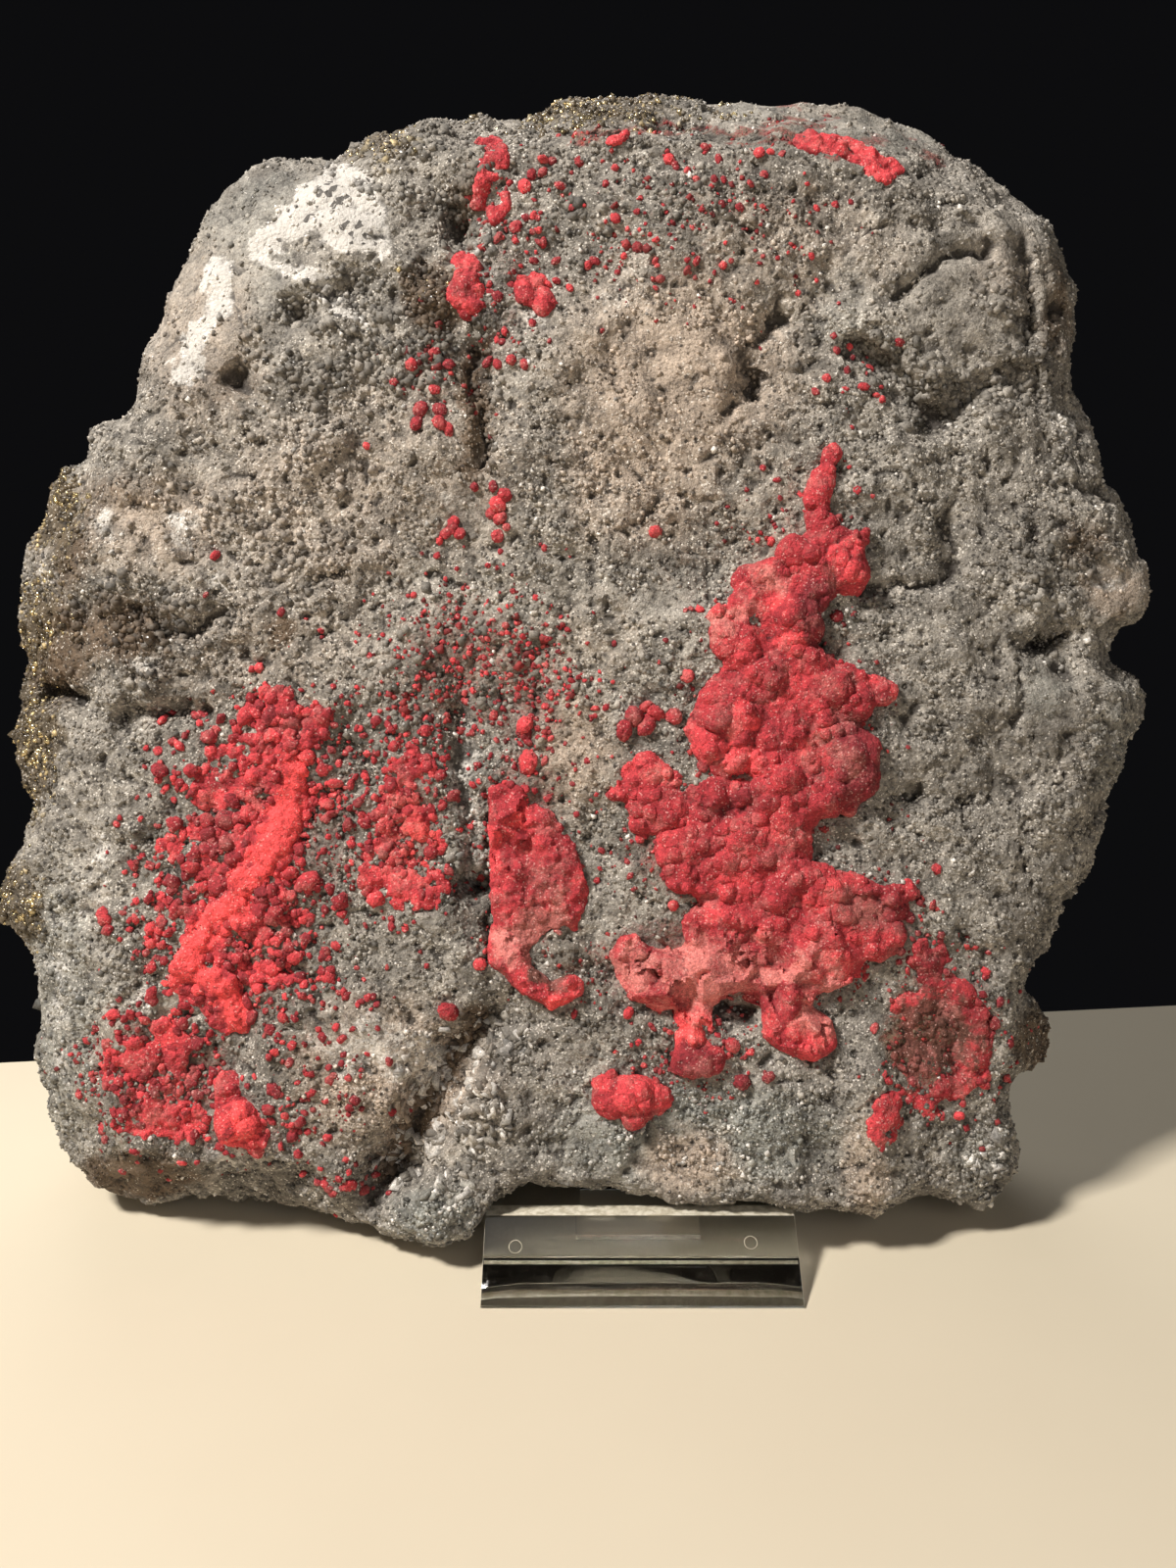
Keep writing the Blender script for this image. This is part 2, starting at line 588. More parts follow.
rockZones = {
    "warm": {
        "spots": [
            (20, 92, 30, 26, 0.9), (12, 72, 22, 24, 0.8), (-40, 70, 40, 30, 0.45), (-70, 30, 40, 24, 0.4), (40, 60, 20, 20, 0.4), (58, 147, 30, 7, 0.4), (-3, 7, 11, 15, 0.9), (22, -84, 12, 9, 1.0),
            (-44, -64, 24, 18, 0.9), (-60, 62, 34, 26, 0.55), (62, -84, 6, 14, 0.8),
            (117, 43, 9, 6, 0.9), (-85, 100, 16, 26, 0.6), (45, 118, 30, 20, 0.5),
            (-95, 58, 20, 14, 0.7), (95, 115, 14, 10, 0.4), (-2, 30, 20, 14, 0.4),
        ],
    },
    "pale": {
        "spots": [
            (-91, 57, 9, 7, 0.6), (-30, 62, 8, 6, 0.5), (12, 46, 10, 8, 0.4), (-22, 116, 5, 12, 0.55),
            (-10, 104, 4, 4, 0.6), (106, 78, 5, 7, 0.6), (-83, 44, 4, 3, 0.7), (-98, 28, 4, 3, 0.6),
            (-107, 58, 4, 4, 0.7), (-99, -47, 4, 4, 0.7), (-108, -15, 4, 6, 0.6),
            (-80, -83, 5, 3, 0.7), (-117, -50, 6, 34, 0.5), (-120, 50, 4, 10, 0.6),
            (8, 110, 18, 12, 0.42), (4, 82, 12, 20, 0.25), (116, 45, 7, 4, 0.6),
            (-50, -58, 16, 10, 0.62), (-38, -62, 12, 10, 0.58), (-12, 40, 14, 10, 0.35),
        ],
        "lines": [
            ([(-73, 116), (-66, 113), (-60, 111), (-54, 106), (-48, 101)], 2.0, 0.8),
            ([(-27, 20), (-28, 5), (-25, -12), (-25, -20)], 4.0, 0.5),
            ([(-81, 115), (-82, 109), (-84, 103), (-87, 97), (-90, 91)], 3.4, 1.0),
        ],
        "patches": [
            ([(-67, 129), (-63, 134), (-57, 138), (-51, 137), (-48, 131), (-45, 124), (-42, 118),
              (-52, 117), (-58, 120), (-66, 121), (-73, 117), (-76, 120), (-70, 124)], 0.95),
        ],
    },
    "green": {
        "spots": [
            (25, -78, 40, 14, 0.85), (-82, 112, 20, 24, 0.6), (-70, 128, 20, 12, 0.5), (-35, -96, 13, 8, 0.8), (88, -84, 11, 13, 0.5),
            (104, 118, 13, 22, 0.4), (-117, -50, 11, 42, 0.6), (56, 108, 9, 14, 0.6),
            (64, 146, 22, 6, 0.7), (40, 149, 24, 3, 0.5), (101, 20, 9, 9, 0.5), (-26, 2, 7, 18, 0.4), (118, 10, 8, 20, 0.5), (60, 100, 12, 14, 0.35),
        ],
    },
    "brown": {
        "spots": [
            (-100, -87, 17, 6, 0.9), (-118, 30, 9, 14, 0.9), (110, 54, 8, 7, 0.6),
            (-116, 52, 9, 12, 0.7), (-108, 64, 10, 8, 0.5), (-104, 34, 16, 10, 0.75), (104, 106, 5, 16, 0.6),
            (-34, 108, 9, 9, 0.95), (-25, 84, 6, 16, 0.85), (-28, 24, 28, 16, 0.45), (74, -58, 9, 11, 0.9),
            (100, -57, 7, 9, 0.8), (76, 83, 6, 5, 0.4), (-78, 88, 8, 6, 0.5), (-26, 130, 6, 10, 0.6),
            (-4, -38, 8, 8, 0.5), (-68, 35, 4, 4, 0.9), (30, 54, 10, 8, 0.3),
        ],
        "lines": [
            ([(-25, -52), (-35, -70), (-45, -86)], 4.5, 0.8),
            ([(-27, 70), (-24, 96)], 3.0, 0.7),
        ],
    },
    "gold": {
        "spots": [
            (-118, 58, 6, 12, 0.8), (-125, 8, 8, 15, 1.3), (-128, -27, 7, 12, 0.9),
            (-122, 34, 6, 12, 0.7), (-45, 142, 7, 6, 0.6), (4, 149, 26, 4, 0.6),
        ],
    },
    "stain": {
        "spots": [
            (-64, -8, 20, 30, 0.5), (-74, -30, 16, 28, 0.6), (-95, -64, 18, 16, 0.7),
            (-60, -58, 14, 26, 0.32), (-41, -10, 10, 20, 0.6), (-26, 26, 24, 20, 0.5),
            (-14, -14, 11, 26, 0.7), (-14, 20, 12, 18, 0.5), (44, 10, 20, 26, 0.75),
            (28, -14, 22, 14, 0.8), (30, -40, 34, 12, 0.75), (64, -30, 14, 12, 0.6),
            (78, -54, 13, 18, 0.75), (24, -60, 10, 10, 0.6), (46, 50, 12, 14, 0.5),
            (20, 124, 34, 18, 0.26), (-20, 108, 8, 24, 0.4), (-34, 90, 10, 12, 0.35),
            (62, 140, 16, 6, 0.15), (-78, -78, 14, 7, 0.5), (10, -69, 9, 6, 0.6), (46, 151, 4, 2, 0.9),
            (64, 143, 3, 1.6, 0.9), (73, 143, 2.4, 1.4, 0.9), (76, 138.5, 3, 2, 0.9),
        ],
        "lines": [
            ([(-4, 144), (8, 145), (22, 146), (34, 144), (44, 143.5), (54, 141), (64, 137)], 0.8, 1.0),
            ([(38, 146), (46, 147), (54, 147)], 0.9, 1.0),
        ],
    },
    "speckled": {
        "spots": [
            (-58, 131, 6, 5, 0.85), (-53, 123, 6, 5, 0.8), (-62, 124, 7, 5, 0.7), (-52, 132, 5, 6, 0.7),
            (-68, 119, 6, 3, 0.7), (-54, 106, 8, 4, 0.75), (-46, 121, 4, 4, 0.7),
        ],
    },
    "smooth": {
        "spots": [
            (-80, 108, 24, 26, 0.8), (-92, 62, 16, 12, 0.6), (96, 116, 16, 16, 0.6),
            (104, 20, 10, 12, 0.6), (24, -80, 26, 10, 0.6), (117, 43, 9, 6, 0.8),
            (60, 147, 32, 7, 1.0), (-100, -87, 16, 6, 0.5), (84, 108, 16, 14, 0.7), (-66, 128, 22, 12, 0.8), (-76, 122, 12, 10, 0.8), (-30, 62, 9, 8, 0.7), (14, 46, 9, 8, 0.6), (-48, -58, 12, 9, 0.4), (90, 6, 10, 8, 0.35), (0, 8, 9, 9, 0.4), (20, 92, 24, 22, 0.45),
        ],
    },
}


def zoneAmount(u, v, zone):
    amount = np.zeros(len(u))
    for su, sv, wide, high, most in zone.get("spots", []):
        away = np.hypot((u - su) / wide, (v - sv) / high)
        amount = np.maximum(amount, most * np.exp(-away ** 3))
    for path, halfWidth, most in zone.get("lines", []):
        amount = np.maximum(amount, most * np.exp(-(farFromPath(u, v, path) / halfWidth) ** 3))
    for outline, most in zone.get("patches", []):
        amount = np.maximum(amount, most * softStep(-2.4, 1.6, insideOutline(u, v, outline)))
    return amount


def zonesAt(points, directions, zones, facing):
    # the amount of every zone at each point. The sides and the back keep only part of it
    u, v, w = seenPlaces(points)
    u = u + 2.4 * humps(points, 7) + 1.8 * humps(points, 2.6, 11)
    v = v + 2.4 * humps(points, 7, 31) + 1.8 * humps(points, 2.6, 47)
    front = softStep(-0.15, 0.3, directions @ np.array(faceOut)) if facing else np.ones(len(u))
    return {name: zoneAmount(u, v, zone) * front for name, zone in zones.items()}


# The slab

slab = {
    "voxel": 1.25,
    "smoothing": 4,
    "backShare": 0.2,
    "standClearance": 2.5,
    "blockSize": 9.0,
    "blockStep": 1.7,
    # (path, half width, depth)
    "cracks": [
        ([(-26, 97), (-24, 88)], 1.0, 1.6),
        ([(-22.5, 84), (-23.5, 78), (-23, 71)], 0.9, 1.6),
        ([(-28, 18), (-29, 5), (-26, -10), (-26, -22)], 1.2, 1.2),
        ([(-22, -52), (-30, -60), (-37, -72), (-43, -84), (-48, -92)], 2.2, 1.4),
        ([(68, 109), (74, 113), (80, 117), (90, 119)], 0.9, 1.8),
        ([(69, 90), (72, 85), (76, 81), (83, 86), (90, 90), (97, 88)], 1.2, 1.2),
        ([(98, 30), (106, 33)], 1.2, 3.4),
        ([(-99, 16), (-92, 16), (-85, 16)], 1.0, 2.0),
        ([(-101, 39), (-95, 34), (-88, 34), (-80, 38)], 0.9, 1.6),
        ([(30, 82), (36, 88), (38, 98), (43, 104)], 1.2, 0.9),
        ([(80, 44), (80, 60)], 0.9, 1.6),
        ([(-112, 19), (-119, 21)], 1.8, 4.0),
        ([(98, 100), (99, 110), (97, 121)], 1.2, 2.0),
        ([(60, 43), (78, 45)], 0.9, 1.4),
        ([(95, 12), (97, 26)], 0.8, 1.2),
        ([(-22.5, -6), (-23, -40)], 0.9, 1.6),
        ([(6, -49.5), (20, -50), (33, -49)], 1.2, 1.4),
        ([(-4, 144), (8, 145), (22, 146), (34, 144), (44, 143.5), (54, 141), (62, 137)], 1.0, 1.6),
        ([(66, 135), (74, 131), (84, 127), (93, 121)], 1.0, 1.2),
    ],
    # (u, v, radius, depth)
    "pits": [
        (-28, 122, 2.2, 1.6), (-26, -22, 2.2, 4.0), (-64, 104, 1.8, 3.0), (-57, 109, 2.0, 2.4),
        (-50, 105, 1.8, 2.0), (-78, 91, 1.6, 2.2), (-76, 88, 1.8, 2.2), (-65, 94, 1.6, 2.0),
        (-77, 79, 1.4, 2.0), (37, 88, 1.8, 2.6), (72, -3, 1.6, 2.6),
        (-42, -84, 3.0, 3.0), (104, 105, 1.8, 3.0), (105, 26, 2.0, 2.4), (99, 54, 1.4, 2.0),
        (102, 31, 2.0, 3.0), (41, 103, 1.6, 2.0), (-103, 14, 2.4, 3.0), (33, -52, 3.0, 4.0),
    ],
}


def thinBack(rock):
    # the back is plain, and keeps few of its faces
    pick(rock)
    bpy.ops.object.mode_set(mode="EDIT")
    bpy.ops.mesh.select_all(action="DESELECT")
    bpy.ops.object.mode_set(mode="OBJECT")
    directions = np.empty(len(rock.data.polygons) * 3, np.float32)
    rock.data.polygons.foreach_get("normal", directions)
    behind = directions.reshape(-1, 3) @ np.array(faceOut) < -0.35
    rock.data.polygons.foreach_set("select", behind)
    bpy.ops.object.mode_set(mode="EDIT")
    bpy.ops.mesh.quads_convert_to_tris()
    # the ratio is a share of the whole mesh
    bpy.ops.mesh.decimate(ratio=1 - behind.mean() * (1 - slab["backShare"]))
    bpy.ops.object.mode_set(mode="OBJECT")


def buildRock():
    rock = copyOfNode("matrix", "altered_rock")
    remesh(rock, slab["voxel"], slab["smoothing"])
    places = corners(rock)
    outwards = normals(rock)
    u, v, w = seenPlaces(places)
    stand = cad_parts["display_stand"]
    sheet = BVHTree.FromObject(stand, bpy.context.evaluated_depsgraph_get())
    free = np.ones(len(places))
    nearStand = np.flatnonzero(
        (places[:, 0] > standLow.x - 0.004) & (places[:, 0] < standHigh.x + 0.004)
        & (places[:, 2] < standHigh.z + 0.004))
    for index in nearStand:
        found = sheet.find_nearest(Vector(places[index]), 0.006)
        if found[0] is not None:
            free[index] = min(1.0, found[3] / (slab["standClearance"] * mm))
    zones = zonesAt(places, outwards, rockZones, True)
    grainy = 1 - 0.85 * zones["smooth"]
    lumps = np.abs(humps(places, 9, 5))
    lift = 1.2 * humps(places, 16, 2) + 1.7 * (0.3 + 0.7 * grainy) * (lumps - 0.2)
    lift += (0.15 + 0.3 * grainy) * humps(places, 3.6, 8) + 0.4 * grainy * humps(places, 1.9, 9)
    rim = 1 - softStep(0.6, 0.9, outwards @ np.array(faceOut))
    broken = 0.15 + 0.85 * np.maximum(rim, zones["smooth"])
    lift += slab["blockStep"] * broken * blockHeight(places, slab["blockSize"])
    veins = np.exp(-(humps(places, 15, 51) / 0.035) ** 2) * softStep(-0.1, 0.25, humps(places, 30, 7))
    lift -= 0.7 * veins + 0.8 * grainy * softStep(0.3, 0.5, humps(places, 2.2, 21))
    move = outwards * (lift * free * mm)[:, None]
    front = softStep(0.0, 0.4, outwards @ np.array(faceOut))
    wavyU = u + 2.2 * humps(places, 6, 71) + 1.2 * humps(places, 2.5, 77)
    wavyV = v + 2.2 * humps(places, 6, 83) + 1.2 * humps(places, 2.5, 89)
    carved = np.zeros(len(places))
    for path, halfWidth, depth in slab["cracks"]:
        carved += depth * np.exp(-(farFromPath(wavyU, wavyV, path) / halfWidth) ** 2)
    for pitU, pitV, radius, depth in slab["pits"]:
        carved += depth * np.exp(-(np.hypot(wavyU - pitU, wavyV - pitV) / radius) ** 2)
    move -= np.array(faceOut) * (carved * front * free * mm)[:, None]
    low = np.array(cadBox[0]) + 0.2 * mm
    high = np.array(cadBox[1]) - 0.2 * mm
    places = np.clip(places + move, low, high)
    moveCorners(rock, places)
    thinBack(rock)
    places = corners(rock)
    deep = roughSurface(rock)
    zones = zonesAt(places, normals(rock), rockZones, True)
    for name, amount in zones.items():
        store(rock, name, amount)
    store(rock, "deep", deep)
    pick(rock)
    bpy.ops.object.shade_flat()
    worn = np.maximum(zones["smooth"], zones["pale"]) > 0.4
    for face in rock.data.polygons:
        face.use_smooth = bool(worn[face.vertices[0]])
    addPiece(rock, bareRock, "matrix")
    return rock


rock = buildRock()
rock.data.calc_loop_triangles()
print("rock:", len(rock.data.loop_triangles), "triangles")
rockTree = BVHTree.FromObject(rock, bpy.context.evaluated_depsgraph_get())


def castOnRock(u, v):
    # where the line of sight to a place meets the rock, and the way the rock faces there
    spot, facing, index, distance = rockTree.ray_cast(eye, (facePoint(u, v) - eye).normalized())
    return spot, facing


# Many small shapes in one piece

def shapeOf(kind, seed, roughness, detail=1):
    # a small irregular grain, one unit in radius
    if kind == "block":
        bpy.ops.mesh.primitive_cube_add(size=1.5, location=(0, 0, 0))
    elif kind == "lump":
        bpy.ops.mesh.primitive_ico_sphere_add(subdivisions=detail, radius=1, location=(0, 0, 0))
    else:
        bpy.ops.mesh.primitive_cone_add(
            vertices=6, radius1=0.62, radius2=0, depth=2.0, end_fill_type="NGON", location=(0, 0, 0))
    grain = bpy.context.object
    dice = random.Random(seed)
    for corner in grain.data.vertices:
        corner.co += Vector([dice.uniform(-roughness, roughness) for axis in range(3)])
    bpy.ops.object.mode_set(mode="EDIT")
    bpy.ops.mesh.select_all(action="SELECT")
    bpy.ops.mesh.quads_convert_to_tris()
    bpy.ops.object.mode_set(mode="OBJECT")
    shape = corners(grain)
    faces = np.array([list(face.vertices) for face in grain.data.polygons])
    bpy.data.objects.remove(grain)
    return shape, faces


def turns(directions, spins, tilts):
    # one rotation for each grain: its own z along the direction, leant by a tilt and spun about it
    z = directions + tilts
    z /= np.linalg.norm(z, axis=1)[:, None]
    helper = np.stack([np.cos(spins), np.sin(spins), np.sin(spins * 2.3)], axis=1)
    x = np.cross(helper, z)
    x /= np.maximum(np.linalg.norm(x, axis=1), 1e-6)[:, None]
    return np.stack([x, np.cross(z, x), z], axis=2)


def scatterMesh(name, shapes, spots, rotations, sizes, values):
    # one mesh of many grains. Each takes one of the shapes, and values are attributes by grain
    whichShape = np.arange(len(spots)) % len(shapes)
    allPlaces, allFaces, allValues, start = [], [], {key: [] for key in values}, 0
    for number, (shape, faces) in enumerate(shapes):
        own = np.flatnonzero(whichShape == number)
        placed = np.einsum("nij,nkj->nki", rotations[own], shape[None] * sizes[own][:, None, :])
        placed = placed * mm + spots[own][:, None, :]
        allPlaces.append(placed.reshape(-1, 3))
        offsets = start + np.arange(len(own)) * len(shape)
        allFaces.append((faces[None] + offsets[:, None, None]).reshape(-1, 3))
        for key, amounts in values.items():
            allValues[key].append(np.repeat(amounts[own], len(shape)))
        start += len(own) * len(shape)
    places = np.concatenate(allPlaces)
    faces = np.concatenate(allFaces)
    mesh = bpy.data.meshes.new(name)
    mesh.vertices.add(len(places))
    mesh.vertices.foreach_set("co", places.ravel())
    mesh.loops.add(faces.size)
    mesh.loops.foreach_set("vertex_index", faces.ravel())
    mesh.polygons.add(len(faces))
    mesh.polygons.foreach_set("loop_start", np.arange(0, faces.size, 3))
    mesh.update(calc_edges=True)
    mesh.validate()
    piece = bpy.data.objects.new(name, mesh)
    bpy.context.scene.collection.objects.link(piece)
    for key, amounts in allValues.items():
        store(piece, key, np.concatenate(amounts))
    return piece


# Crusts

crustZones = {
    "orange": {
        "spots": [
            (-38, -12, 4, 6, 0.9), (-16, -9, 4, 8, 0.7), (43, 38, 4, 7, 0.5), (40, 12, 6, 5, 0.4),
            (23, -54, 5, 6, 0.8), (84, -47, 3, 3, 1.0), (85, -55, 3, 3, 1.0), (-9, -49, 8, 3, 0.7),
            (-79, -76, 8, 6, 0.7), (50, -55, 8, 5, 0.4), (-92, -56, 5, 5, 0.5),
        ],
        "lines": [
            ([(-65, 4), (-65.5, -3), (-68, -11), (-71, -16), (-76, -22)], 4.4, 1.0),
            ([(-79, -27), (-85, -33), (-88, -39), (-91, -43)], 4.2, 1.0),
            ([(-88, -41), (-80, -46), (-78, -53)], 3.6, 0.95),
        ],
    },
    "crimson": {
        "spots": [
            (24, -62, 9, 5, 1.0), (-98, -67, 16, 14, 0.4), (51, 38, 5, 9, 1.3),
            (64, 20, 3, 6, 0.8), (-84, -14, 10, 12, 0.25), (62, 4, 4, 14, 1.0),
            (59, 5, 7, 13, 1.2), (76, -41, 8, 8, 0.9), (83, -54, 9, 13, 0.8),
            (26, -16, 20, 10, 0.5), (33, -4, 14, 5, 0.8), (-6, -20, 6, 12, 0.5), (-20, 130, 8, 14, 0.4),
            (66, -28, 12, 8, 0.8), (30, 18, 5, 8, 0.4), (-20, 100, 10, 8, 0.4),
        ],
    },
    "dusty": {
        "spots": [
            (54, 21, 6, 6, 0.7), (52, 7, 8, 7, 0.6), (-10, -34, 9, 9, 1.0), (-10, -22, 9, 10, 0.75), (60, -28, 10, 8, 0.6),
            (-12, -22, 8, 10, 0.5), (58, 4, 5, 5, 0.7), (80, -60, 12, 12, 0.7),
            (44, -12, 10, 8, 0.5), (-41, -10, 8, 18, 0.5), (78, -66, 8, 6, 0.6),
        ],
    },
    "rose": {
        "spots": [
            (28, -41, 30, 11, 0.8), (52, -50, 11, 8, 0.65), (24, -52, 6, 6, 0.5), (40, 45, 7, 4, 0.7), (35, 39, 6, 4, 0.7),
            (29, 34, 5, 4, 0.7), (-19, -36, 4, 7, 0.7), (14, 2, 7, 4, 0.5), (10, -40, 8, 5, 0.9),
        ],
    },
    "brown": {
        "spots": [(75, -58, 11, 13, 1.0), (84, -60, 6, 9, 0.5), (62, -8, 5, 6, 0.4), (-8, -41, 6, 5, 0.9)],
    },
}
growth = {
    "voxel": 0.5,
    "domeSize": 8.5,
    "domeHeight": 3.6,
    "blockSize": 5.2,
    "blockStep": 3.3,
    "blocks": [
        (30, -42, 34, 13, 1.0), (52, -51, 12, 8, 0.9), (24, -54, 8, 8, 0.8), (-17, -9, 6, 10, 1.0),
        (10, 2, 8, 5, 0.4), (-19, -35, 3, 7, 0.7), (38, 43, 8, 6, 0.5),
    ],
    # where few lobes grow
    "thin": [(-70, -37, 9, 9, 0.75), (-90, -16, 9, 13, 0.5), (-81, 6, 9, 9, 0.4), (-46, -2, 5, 9, 0.5)],
}
# how far the plain crust is sunk under its lobes, and the lobes as (square millimetres of crust for
# each, smallest and largest radius, how deep they sit in it)
crustHabits = {
    "massive": (0.8, [(90.0, 1.6, 2.6, 0.95), (40.0, 0.8, 1.4, 0.85), (16.0, 0.5, 0.9, 0.65)]),
    "sandy": (0.6, [(60.0, 1.2, 2.2, 0.85), (24.0, 0.7, 1.3, 0.8), (10.0, 0.4, 0.8, 0.6)]),
    "scattered": (4.2, [(14.0, 1.4, 2.3, 0.5), (5.0, 0.8, 1.5, 0.3), (3.0, 0.5, 0.9, 0.2)]),
    "dusted": (2.9, [(16.0, 1.2, 2.2, 0.7), (4.0, 0.7, 1.3, 0.5), (2.4, 0.4, 0.8, 0.3)]),
    "beaded": (3.4, [(7.0, 1.2, 2.1, 0.2), (4.0, 0.7, 1.2, 0.2)]),
}
habitOf = {
    "cinnabar_left_streak": "scattered",
    "cinnabar_mid_left": "scattered",
    "cinnabar_left_corner": "dusted",
    "cinnabar_centre": "sandy",
    "cinnabar_lower_right": "dusted",
    "cinnabar_fissure_top": "beaded",
    "cinnabar_fissure_side": "beaded",
    "cinnabar_top_edge": "beaded",
}
# round swellings of the vein: (u, v, radius, height over the rock)
domes = {
    "cinnabar_right_vein": [
        (52.6, 48.7, 6.0, 4.6), (57, 46, 3.6, 4.0), (40, 46, 3.8, 2.0), (30, 33.6, 3.6, 2.8), (37, 31, 3.0, 2.6),
        (31.6, 19.4, 5.6, 4.4), (54.2, 21.8, 6.0, 5.2), (40, 24.3, 5.0, 4.8), (33.3, 10.1, 5.0, 4.0),
        (45.9, 8.4, 5.8, 5.2), (57.6, 5.0, 6.0, 5.4), (50.9, -3.3, 5.0, 4.6), (39, -2.5, 3.6, 3.2),
        (14, 1.5, 3.6, 2.4), (24, -17, 5.6, 3.4), (35.8, -18, 4.8, 3.2), (45, -20, 4.6, 5.0),
        (53.4, -24.2, 3.6, 3.4), (66, -26, 4.0, 2.8), (49, 35, 3.4, 4.4), (45, -9, 4.6, 4.2),
    ],
    "cinnabar_foot_nodules": [(7, -69.5, 4.4, 3.6), (15, -70, 2.8, 2.6)],
}
# smooth bright streaks, as (path, radius, height over the rock)
streaks = {
    "cinnabar_left_streak": [
        ([(-65, 4), (-65.5, 0)], 2.2, 2.2),
        ([(-65.5, 0), (-66.5, -5), (-68, -11)], 3.5, 2.8),
        ([(-68, -11), (-71, -16)], 4.2, 3.0),
        ([(-70, -11), (-76, -11), (-79, -13)], 1.8, 1.6),
        ([(-71, -16), (-74, -21), (-78, -23)], 3.0, 2.6),
        ([(-78, -26), (-83, -29), (-86, -34)], 2.8, 2.4),
        ([(-86, -34), (-88, -38), (-91, -43)], 3.2, 2.6),
        ([(-88, -41), (-84, -43), (-81, -45), (-79, -49)], 2.8, 2.6),
        ([(-80, -47), (-78, -53)], 2.8, 3.0), ([(-70, -43), (-67, -43)], 2.0, 2.0),
        ([(-61, 16), (-60, 11), (-61, 8)], 2.2, 2.2), ([(-68, 20), (-66, 13), (-67, 9)], 1.8, 2.0),
        ([(-72, 10), (-69, 7)], 2.0, 1.8), ([(-86, -1), (-83, -3)], 2.0, 1.8),
        ([(-90, -28), (-87, -30)], 2.0, 1.8), ([(-76, -32), (-71, -33)], 2.4, 1.8),
    ],
    "cinnabar_mid_left": [
        ([(-38, -7), (-37.5, -12)], 2.4, 2.2), ([(-46, -20), (-42, -23), (-37, -22)], 2.2, 1.6),
        ([(-42, 4), (-39, 0)], 1.6, 1.4), ([(-45, -8), (-44, -14)], 2.0, 1.4),
    ],
    "cinnabar_left_corner": [
        ([(-94, -54), (-90, -58), (-92, -63)], 2.6, 1.8), ([(-97, -73), (-90, -74)], 2.8, 2.0),
        ([(-101, -60), (-98, -65)], 2.4, 1.6),
    ],
    "cinnabar_lower_right": [
        ([(82, -46), (85, -50), (86, -56), (85, -63)], 3.0, 2.4), ([(78, -68), (84, -66)], 2.4, 2.0),
        ([(67, -70), (65, -76)], 2.6, 1.6), ([(73, -36), (76, -42)], 2.6, 2.4),
        ([(70, -49), (76, -47)], 3.0, 1.8),
    ],
    "cinnabar_centre": [([(-18, -40), (-13, -44), (-8, -47), (-3.5, -45)], 2.2, 2.6)],
}


lumpShapes = [shapeOf("lump", seed, 0.14, 2) for seed in range(6)]


def lobesOn(crust, dice, sorts, onRock):
    # lobes on the front of a crust, as (centre, the way it faces, half sizes). They sit on the crust
    # itself, or on the rock in its place
    crust.data.calc_loop_triangles()
    lobes = []
    for triangle in crust.data.loop_triangles:
        facing = Vector(triangle.normal)
        if facing.dot(faceOut) < 0.05:
            continue
        a, b, c = (crust.data.vertices[corner].co for corner in triangle.vertices)
        u, v, w = seenPlaces(np.array([a]))
        share = 1 - 0.85 * zoneAmount(u, v, {"spots": growth["blocks"]})[0]
        if onRock:
            share *= 1 - zoneAmount(u, v, {"spots": growth["thin"]})[0]
            share *= 0.3 + 1.3 * softStep(-0.2, 0.25, humps(np.array([a]), 7, 17)[0])
        for area, smallest, largest, depth in sorts:
            expected = triangle.area / (area * mm * mm) * share
            for turn in range(int(expected + dice.random())):
                radius = dice.uniform(smallest, largest)
                across, along = dice.random(), dice.random()
                if across + along > 1:
                    across, along = 1 - across, 1 - along
                spot = a + (b - a) * across + (c - a) * along
                outward = facing
                if onRock:
                    spot, outward, index, distance = rockTree.ray_cast(eye, (spot - eye).normalized())
                centre = spot - outward * radius * depth * dice.uniform(0.7, 1.3) * mm
                sizes = [radius * dice.uniform(0.75, 1.2) for axis in range(3)]
                lobes.append((centre, outward, sizes))
    return lobes


def lobesAlong(path, radius, height, dice):
    lobes = []
    for (u0, v0), (u1, v1) in zip(path, path[1:]):
        steps = max(2, int(math.hypot(u1 - u0, v1 - v0) / 0.9))
        for step in range(steps):
            share = step / steps
            for turn in range(2):
                spot, facing = castOnRock(u0 + (u1 - u0) * share + dice.uniform(-1.7, 1.7),
                                          v0 + (v1 - v0) * share + dice.uniform(-1.2, 1.2))
                size = radius * dice.uniform(0.4, 0.95)
                lobes.append((spot, faceOut, [size, size, height * dice.uniform(0.5, 0.75)]))
    return lobes


